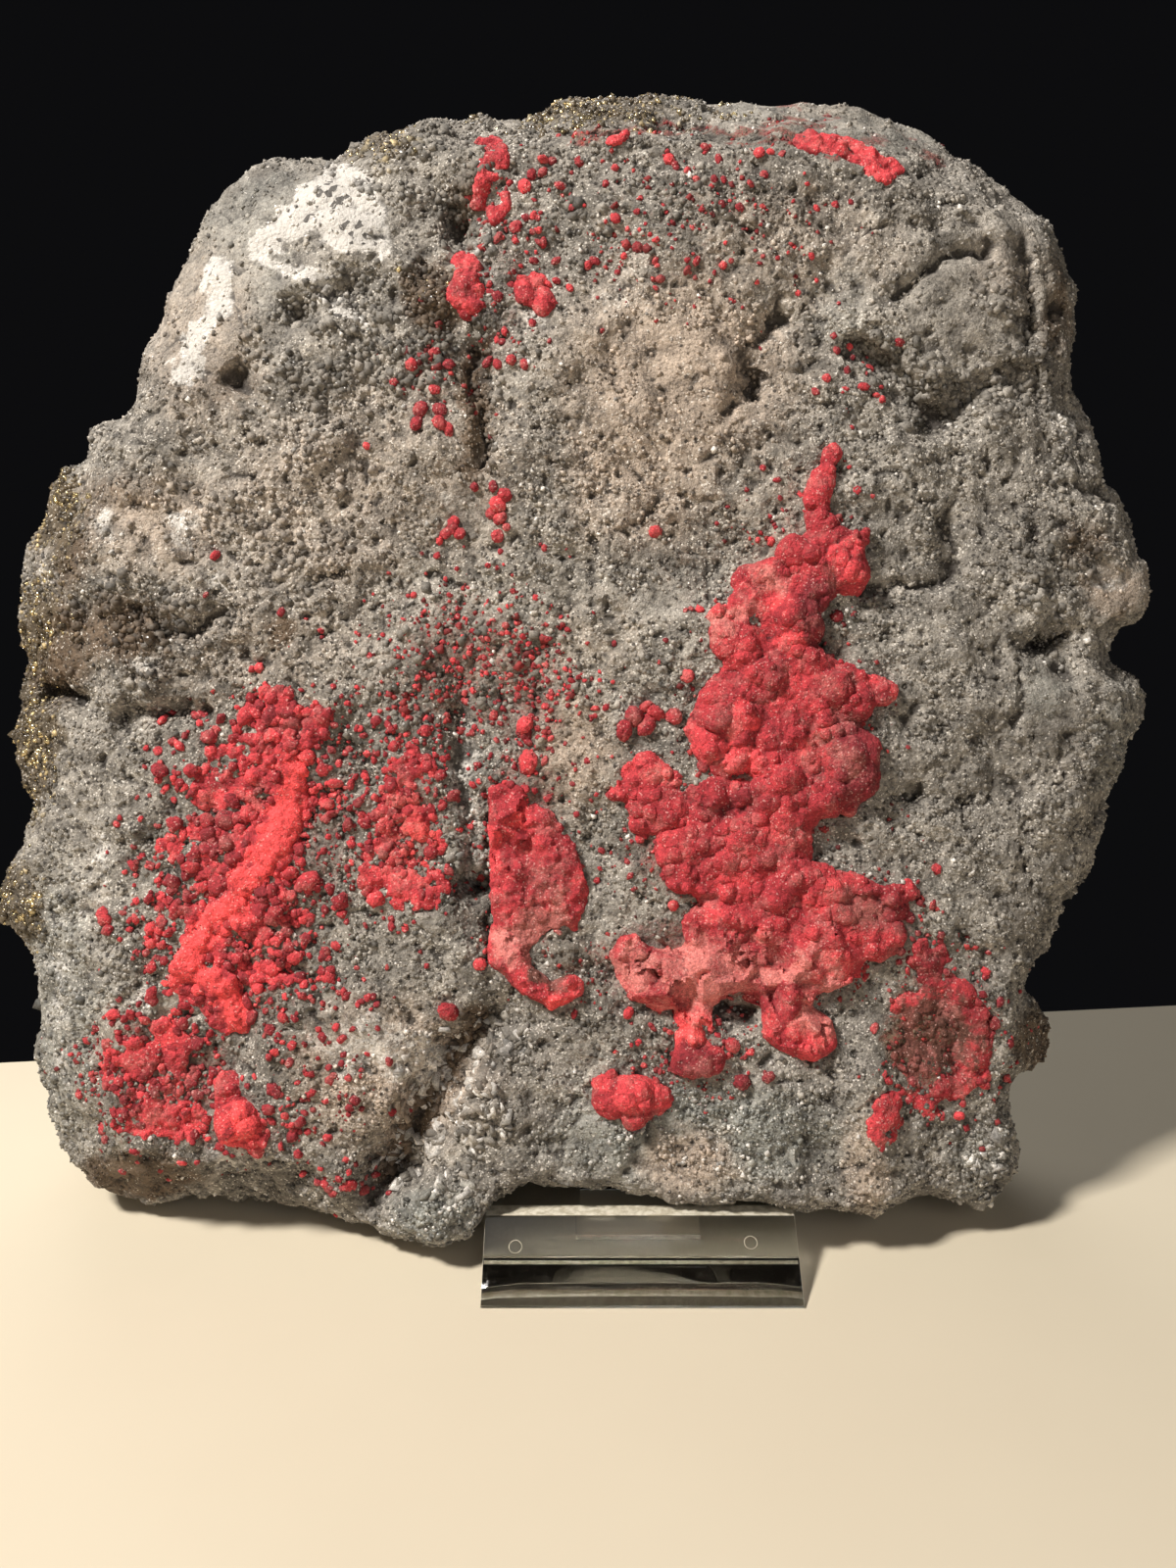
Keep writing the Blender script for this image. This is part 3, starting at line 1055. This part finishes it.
def buildCrust(node):
    dice = random.Random(node)
    habit = habitOf.get(node, "massive")
    crust = copyOfNode(node, node + "_growth")
    sunk, sorts = crustHabits[habit]
    lobes = lobesOn(crust, dice, sorts, habit not in ("massive", "sandy"))
    for path, radius, height in streaks.get(node, []):
        lobes += lobesAlong(path, radius, height, dice)
    for u, v, radius, height in domes.get(node, []):
        spot, facing = castOnRock(u, v)
        lobes.append((spot, (facing + faceOut).normalized(), [radius, radius * 0.92, height]))
    centres, directions, sizes = (np.array(column) for column in zip(*lobes))
    draw = np.random.default_rng(len(centres))
    rotations = turns(directions, draw.uniform(0, 6.28, len(centres)),
                      draw.uniform(-0.2, 0.2, (len(centres), 3)))
    joined = scatterMesh(node + "_lobes", lumpShapes, centres, rotations, sizes, {})
    moveCorners(crust, corners(crust) - np.array(faceOut) * sunk * mm)
    bpy.ops.object.select_all(action="DESELECT")
    joined.select_set(True)
    crust.select_set(True)
    bpy.context.view_layer.objects.active = crust
    bpy.ops.object.join()
    remesh(crust, growth["voxel"], 2)
    places = corners(crust)
    outwards = normals(crust)
    u, v, w = seenPlaces(places)
    blocky = zoneAmount(u, v, {"spots": growth["blocks"]})
    bent = places + 1.2 * mm * np.stack([humps(places, 6, shift) for shift in (91, 95, 99)], axis=1)
    lift = 0.28 * humps(places, 1.6, 3) + 0.24 * humps(places, 0.9, 7)
    if habit == "massive":
        lift += growth["domeHeight"] * domeHeight(bent, growth["domeSize"]) + 0.3 * domeHeight(bent, 2.3)
    places = places + outwards * (lift * (1 - 0.85 * blocky) * mm)[:, None]
    if blocky.max() > 0.1:
        steps = blockHeight(places, growth["blockSize"]) * growth["blockStep"] * blocky
        places = places + np.array(faceOut) * (steps * mm)[:, None]
    moveCorners(crust, places)
    tree = KDTree(len(centres))
    for number, centre in enumerate(centres):
        tree.insert(centre, number)
    tree.balance()
    tones = draw.uniform(0, 1, len(centres))
    nearest = [tree.find(place)[1] for place in places.tolist()]
    plain = 0.4 * tones[nearest] + 0.6 * cellDice(bent, growth["domeSize"])
    facets = cellDice(places, growth["blockSize"])
    for name, amount in zonesAt(places, outwards, crustZones, False).items():
        store(crust, name, amount)
    store(crust, "tone", plain * (1 - blocky) + facets * blocky)
    store(crust, "deep", roughSurface(crust) * (1 - 0.6 * blocky))
    pick(crust)
    bpy.ops.object.shade_smooth_by_angle(angle=math.radians(15))
    addPiece(crust, redCrust, node)
    return crust


crusts = [buildCrust(node) for node in sorted(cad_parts) if node.startswith("cinnabar")]
print("crusts:", sum(len(crust.data.polygons) for crust in crusts), "faces")


# Drusy grains all over the rock

druse = {
    # count, smallest, largest, shapes, how flat, how much it leans
    "fine": (52000, 0.22, 0.62, ("block", "tip", "block", "block"), 0.9, 0.8),
    "coarse": (3600, 0.5, 1.25, ("block", "lump", "block"), 0.85, 0.7),
    "flakes": (900, 0.8, 1.9, ("block",), 0.35, 1.2),
    "glassy": (2400, 0.3, 0.75, ("tip", "block"), 1.0, 1.0),
    "golden": (2600, 0.3, 0.8, ("block",), 1.0, 1.2),
}
# where the coarser sets lie: (u, v, half width, half height, amount)
druseZones = {
    "coarse": {"spots": [
        (-50, 98, 26, 14, 1.0), (-34, 108, 9, 10, 1.0), (-70, 60, 26, 20, 0.5), (-100, 36, 18, 16, 0.7),
        (-25, 128, 8, 14, 0.9), (-40, 136, 16, 10, 0.8), (78, 86, 20, 8, 0.8), (94, 104, 8, 18, 0.5),
        (-28, -20, 7, 8, 1.0), (-24, 84, 5, 16, 0.9), (10, 128, 34, 12, 0.35), (-24, 24, 30, 22, 0.35),
        (100, 44, 12, 14, 0.5), (-40, 20, 22, 14, 0.35), (34, 86, 8, 12, 0.4), (-112, -40, 10, 40, 0.25), (66, 95, 8, 6, 1.0), (77, 83, 8, 7, 1.0),
    ]},
    "flakes": {"spots": [
        (-30, -72, 12, 15, 1.0), (-38, -86, 9, 7, 0.8), (-22, -60, 9, 9, 0.7), (88, -86, 10, 9, 0.5),
    ]},
    "glassy": {"spots": [
        (26, -76, 38, 15, 1.0), (-30, 4, 6, 22, 0.7), (-33, -96, 12, 7, 0.8), (44, -30, 18, 10, 0.4),
        (-20, 112, 6, 14, 0.7), (12, 46, 12, 10, 0.5), (-106, -40, 10, 30, 0.5), (60, 148, 30, 6, 0.4),
    ]},
    "golden": {"spots": [
        (-117, 62, 6, 9, 1.0), (-125, 8, 8, 16, 1.0), (-128, -27, 8, 12, 1.0), (-122, 36, 7, 14, 0.6),
        (-45, 142, 9, 7, 0.8), (0, 149, 30, 5, 0.9), (-33, 108, 8, 8, 0.35),
    ]},
}


def rockTriangles():
    rock.data.calc_loop_triangles()
    count = len(rock.data.loop_triangles)
    ends = np.empty(count * 3, np.int64)
    rock.data.loop_triangles.foreach_get("vertices", ends)
    area = np.empty(count)
    rock.data.loop_triangles.foreach_get("area", area)
    return ends.reshape(-1, 3), area


def clearOfStand(spots):
    low = np.array(cadBox[0]) + 1.3 * mm
    high = np.array(cadBox[1]) - 1.3 * mm
    clear = ((spots > low) & (spots < high)).all(axis=1)
    sheet = BVHTree.FromObject(
        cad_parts["display_stand"], bpy.context.evaluated_depsgraph_get())
    near = clear & (spots[:, 0] > standLow.x - 0.004) & (spots[:, 0] < standHigh.x + 0.004)
    for index in np.flatnonzero(near & (spots[:, 2] < standHigh.z + 0.004)):
        if sheet.find_nearest(Vector(spots[index]), 1.8 * mm)[0] is not None:
            clear[index] = False
    return clear


def buildDruse(kind, seed):
    count, smallest, largest, shapeKinds, flatness, lean = druse[kind]
    dice = np.random.default_rng(seed)
    triangles, area = rockTriangles()
    places = corners(rock)
    outwards = normals(rock)
    middle = places[triangles].mean(axis=1)
    facing = outwards[triangles[:, 0]] @ np.array(faceOut)
    u, v, w = seenPlaces(middle)
    if kind == "fine":
        bare = zoneAmount(u, v, rockZones["smooth"])
        white = zoneAmount(u, v, {kind: rockZones["pale"][kind] for kind in ("patches", "lines")})
        wanted = area * (0.1 + 0.9 * softStep(-0.2, 0.3, facing)) * (1 - 0.85 * np.maximum(bare, white))
        wanted *= 0.35 + softStep(-0.15, 0.25, humps(middle, 11, 61))
    else:
        wanted = area * softStep(-0.1, 0.3, facing) * zoneAmount(u, v, druseZones[kind]) ** 2
        wanted *= softStep(-0.2, 0.2, humps(middle, 7, 61))
    chosen = dice.choice(len(area), count, p=wanted / wanted.sum())
    first, second = dice.random((2, count, 1))
    over = first + second > 1
    first, second = np.where(over, 1 - first, first), np.where(over, 1 - second, second)
    a, b, c = (places[triangles[chosen, corner]] for corner in range(3))
    spots = a + first * (b - a) + second * (c - a)
    directions = outwards[triangles[chosen, 0]]
    zones = zonesAt(spots, directions, rockZones, True)
    size = smallest + (largest - smallest) * dice.random(count) ** 1.7
    size *= 1 + 0.35 * humps(spots, 9, 3)
    sizes = size[:, None] * dice.uniform(0.7, 1.2, (count, 3))
    sizes[:, 2] *= flatness
    rotations = turns(directions, dice.uniform(0, 6.28, count), dice.uniform(-lean, lean, (count, 3)))
    spots = spots - directions * (size * 0.1 * mm)[:, None]
    stain = zones.pop("stain")
    zones.pop("smooth")
    zones.pop("speckled")
    drawn = dice.random(count)
    tone = dice.normal(0.98, 0.28, count) * (1 + 0.5 * humps(spots, 5, 13))
    zones["reddened"] = (dice.random(count) < 0.8 * stain ** 1.2).astype(float)
    zones["glassy"] = (dice.random(count) < 0.1 + 0.3 * zones["green"]).astype(float)
    zones["glint"] = (dice.random(count) < 0.3).astype(float)
    if kind == "fine":
        tone = np.where(drawn < 0.14, tone * 0.5, tone)
        zones["pale"] = np.where(drawn > 0.965, 1.0, zones["pale"])
    elif kind == "coarse":
        tone *= 0.72
    elif kind == "flakes":
        zones["pale"] = np.where(drawn > 0.6, 0.6, zones["pale"])
    elif kind == "glassy":
        zones["glassy"] = np.ones(count)
        zones["pale"] = np.where(drawn > 0.86, 1.0, zones["pale"])
        zones["reddened"] = 0.2 * zones["reddened"]
    else:
        zones["gold"] = np.ones(count)
        zones["glint"] = (drawn > 0.72).astype(float)
        zones["glassy"] = np.ones(count)
    zones["tone"] = np.clip(tone, 0.3, 1.4)
    kept = clearOfStand(spots)
    shapes = []
    for shapeKind in shapeKinds:
        rough = {"block": 0.28, "tip": 0.15, "lump": 0.25}[shapeKind]
        shapes += [shapeOf(shapeKind, shapeSeed, rough) for shapeSeed in range(3)]
    seenU, seenV, seenW = seenPlaces(spots)
    parts = (seenU > 0) + 2 * np.digitize(seenV, (-20, 60)) if kind == "fine" else np.zeros(count)
    names = ["low_left", "low_right", "middle_left", "middle_right", "top_left", "top_right"]
    for part in range(6 if kind == "fine" else 1):
        own = np.flatnonzero(kept & (parts == part))
        name = "druse_" + (names[part] if kind == "fine" else kind)
        piece = scatterMesh(name, shapes, spots[own], rotations[own], sizes[own],
                            {key: amounts[own] for key, amounts in zones.items()})
        addPiece(piece, looseGrain)
        print(name, len(piece.data.polygons))


for number, kind in enumerate(druse):
    buildDruse(kind, 11 + number)


# Red nodules: each is (u, v, radius)

nodules = {
    "nodules_top": [
        (-16, 123.5, 1.3), (-20, 121, 1.2), (-14, 132.5, 1.4), (-10, 138.5, 1.2), (-10, 135.5, 1.3),
        (-12.5, 135, 1.1), (-8, 138, 1.0), (-6, 132.5, 1.2), (-2, 138, 1.0), (-3.5, 128, 1.1),
        (-12, 126, 1.1), (-10, 120, 1.2), (-12, 116, 1.1), (-7, 116, 1.0), (-27, 104, 1.3),
        (-17, 110.5, 1.3), (-20, 108, 1.2), (-7, 111.5, 1.0), (-4, 110, 1.0), (-19, 98, 1.2),
        (-22, 93.5, 1.5), (-20, 93, 1.4), (-17, 94, 1.3), (-14, 93, 1.1), (-34, 95.5, 1.3),
        (-31, 93, 1.2), (-39, 93, 1.4), (-43, 89, 1.2), (-34, 87.5, 1.2), (-37, 83, 1.6),
        (-38, 80, 1.5), (-33, 83, 1.3), (-33, 80, 1.5), (-31, 78.5, 1.3), (-25, 66, 1.6),
        (-21, 66, 1.2), (-20, 62, 1.6), (-19.5, 59, 1.4), (-20, 55, 1.2), (-18.5, 64, 1.3), (-21.5, 60, 1.2),
        (-30, 57, 1.6), (-31.5, 55.5, 1.4), (-28.5, 55.5, 1.5), (-33, 54, 1.0), (-29.5, 58.5, 1.0), (-18, 57, 1.1),
        (-49, 75, 1.1), (4, 133, 1.0), (6, 136.5, 1.1), (6, 125.5, 1.0), (1.5, 116, 1.0),
        (0, 115, 0.9), (11, 119, 1.0), (8, 117, 0.9), (15, 116, 0.9), (24, 116, 1.0),
        (22, 114, 0.9), (16, 112, 0.9), (30, 115, 1.0), (18, 138.5, 1.1), (22, 136, 1.0),
        (29, 138.5, 1.1), (26, 141, 1.1), (24, 134, 0.9), (28, 134, 1.0), (30, 134, 0.9),
        (38, 140, 1.2), (40.5, 140, 1.0), (43, 139.5, 1.1), (36, 133, 1.0), (39, 135, 0.9),
        (6, 142.5, 1.6), (8, 143.5, 1.3), (15, 56, 1.6), (62, 92, 1.3), (61, 88, 1.2),
        (69, 98, 1.1),
    ],
    "nodules_beside": [
        (8, 12, 2.0), (10, 15, 2.4), (13, 13, 2.2), (15, 16, 2.0), (13, 17, 1.8), (19, 15, 2.0),
        (25.5, 4, 1.5), (4, 17, 1.0), (22, 24, 1.3), (-21, 15, 1.2), (-14, 13, 2.2),
        (-14, 11.5, 1.8), (-13, 5, 2.2), (-13.5, 3.5, 1.8), (32, -58, 2.0), (34, -66, 2.5),
        (40, -65, 1.5), (-31, -50.5, 2.0), (9, -51, 1.5), (-3, -51, 1.0), (-94, 14, 2.0),
        (-86, 15, 1.8), (-95, 3, 1.8), (-88, 3, 1.6), (-47, 14, 1.2), (-24, -40, 1.2),
    ],
}
# (u, v, half width, half height, count, smallest, largest)
noduleFields = {
    "nodules_sprinkled": [
        (16, 126, 26, 14, 60, 0.4, 0.9), (34, 118, 22, 16, 45, 0.4, 0.8), (-16, 118, 8, 18, 40, 0.5, 1.1),
        (-26, 28, 22, 18, 230, 0.35, 0.8), (-10, 20, 12, 20, 130, 0.4, 0.9), (60, 88, 10, 12, 18, 0.5, 1.0),
        (44, 56, 12, 10, 30, 0.5, 1.1), (40, 20, 18, 26, 90, 0.5, 1.2), (26, -14, 20, 12, 110, 0.5, 1.1),
        (66, -32, 12, 9, 80, 0.5, 1.4), (80, -56, 14, 17, 130, 0.5, 1.3), (24, -58, 12, 9, 60, 0.5, 1.1),
        (12, -68, 10, 5, 30, 0.5, 1.0), (-12, -14, 11, 24, 110, 0.5, 1.2),
    ],
    "nodules_left": [
        (-70, -8, 15, 28, 260, 0.5, 2.0), (-68, 12, 11, 9, 80, 0.7, 2.2), (-84, -16, 13, 12, 90, 0.6, 2.2),
        (-84, -34, 16, 22, 150, 0.5, 2.0), (-62, -54, 14, 26, 120, 0.6, 1.3), (-96, -64, 13, 14, 260, 0.5, 1.3),
        (-41, -9, 9, 20, 200, 0.5, 1.6), (-78, -76, 12, 6, 70, 0.6, 1.4), (-56, -4, 15, 20, 130, 0.5, 1.1),
        (-36, 8, 12, 12, 90, 0.4, 1.0), (-54, -88, 8, 4, 20, 0.6, 1.3), (-96, -26, 9, 18, 110, 0.5, 1.3),
        (-88, 2, 10, 8, 50, 0.5, 1.3), (-70, -36, 9, 12, 90, 0.6, 1.5),
    ],
}


def buildNodules(name, wanted, seed, detail):
    dice = random.Random(seed)
    draw = np.random.default_rng(seed)
    spots, directions, radii = [], [], []
    for u, v, radius in wanted:
        spot, facing = castOnRock(u, v)
        if spot is None or facing.dot(faceOut) < 0.05:
            continue
        spots.append(spot)
        directions.append(facing)
        radii.append(radius)
    spots, directions, radii = np.array(spots), np.array(directions), np.array(radii)
    sizes = radii[:, None] * draw.uniform(0.65, 1.3, (len(radii), 3))
    sizes[:, 2] *= 0.62
    rotations = turns(directions, draw.uniform(0, 6.28, len(radii)),
                      draw.uniform(-0.3, 0.3, (len(radii), 3)))
    spots = spots + directions * (radii * 0.2 * mm)[:, None]
    zones = zonesAt(spots, directions, crustZones, False)
    zones["crimson"] = np.clip(zones["crimson"] + draw.uniform(-0.3, 0.9, len(radii)), 0, 1)
    zones["tone"] = draw.uniform(0, 1, len(radii))
    zones["deep"] = np.zeros(len(radii))
    shapes = [shapeOf("lump", seed + turn, 0.24 if detail < 3 else 0.13, detail) for turn in range(8)]
    piece = scatterMesh(name, shapes, spots, rotations, sizes, zones)
    pick(piece)
    bpy.ops.object.shade_smooth()
    addPiece(piece, redCrust)
    return piece


for number, (name, wanted) in enumerate(nodules.items()):
    buildNodules(name, wanted, 100 + number, 3)
for number, (name, fields) in enumerate(noduleFields.items()):
    dice = random.Random(200 + number)
    wanted = []
    for u, v, wide, high, count, smallest, largest in fields:
        for turn in range(count):
            wanted.append((dice.gauss(u, wide * 0.55), dice.gauss(v, high * 0.55),
                           smallest + (largest - smallest) * dice.random() ** 2))
    buildNodules(name, wanted, 300 + number, 2)
print("nodules made")


# The stand

standFinish = {
    "bevel": 0.3,
    "edgeTop": (15.5, 10.4),        # past this y and over this z lies the lip's sawn edge
    "fold": (10.6, 3.35, 0.42),     # the whitened line inside the fold: y, z, radius
    "pins": [(-16.1, -102.6), (36.1, -101.7)],
    "pinRadius": 1.4,
}


def buildStand():
    stand = copyOfNode("display_stand", "clear_stand")
    edge = stand.modifiers.new("edges", "BEVEL")
    edge.width = standFinish["bevel"] * mm
    edge.segments = 2
    edge.limit_method = "ANGLE"
    edge.angle_limit = math.radians(40)
    applyModifiers(stand)
    pick(stand)
    bpy.ops.object.shade_smooth_by_angle(angle=math.radians(35))
    addPiece(stand, clearSheet, "display_stand")
    stand.data.materials.append(sawnEdge)
    frontY, lowZ = standFinish["edgeTop"]
    for face in stand.data.polygons:
        deep = (face.center.y - nose.y) / mm
        onLip = frontY < deep < 23 and face.center.z > lowZ * mm and face.normal.z > 0.5
        onEdge = deep < 17 and 0.2 < abs(face.normal.x) < 0.95
        if onLip or onEdge:
            face.material_index = 1
    return stand


def buildFoldLine():
    y, z, radius = standFinish["fold"]
    width = (standHigh.x - standLow.x) - 0.6 * mm
    middle = ((standLow.x + standHigh.x) / 2, nose.y + y * mm, z * mm)
    bpy.ops.mesh.primitive_cylinder_add(
        vertices=10, radius=radius * mm, depth=width, location=middle, rotation=(0, math.pi / 2, 0))
    line = bpy.context.object
    line.name = "fold_line"
    bpy.ops.object.transform_apply(location=True, rotation=True, scale=True)
    bpy.ops.object.shade_smooth()
    addPiece(line, sawnEdge)


def buildPinMarks():
    tree = BVHTree.FromObject(
        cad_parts["display_stand"], bpy.context.evaluated_depsgraph_get())
    for number, (u, v) in enumerate(standFinish["pins"]):
        spot, facing, index, distance = tree.ray_cast(eye, (facePoint(u, v) - eye).normalized())
        turn = facing.to_track_quat("Z", "Y").to_euler()
        bpy.ops.mesh.primitive_torus_add(
            location=spot, rotation=turn, major_radius=standFinish["pinRadius"] * mm,
            minor_radius=0.09 * mm, major_segments=24, minor_segments=6)
        ring = bpy.context.object
        ring.name = f"pin_mark_{number + 1}"
        bpy.ops.object.transform_apply(location=True, rotation=True, scale=True)
        bpy.ops.object.shade_smooth()
        addPiece(ring, sawnEdge)


buildFoldLine()
buildPinMarks()
buildStand()
print("stand made")
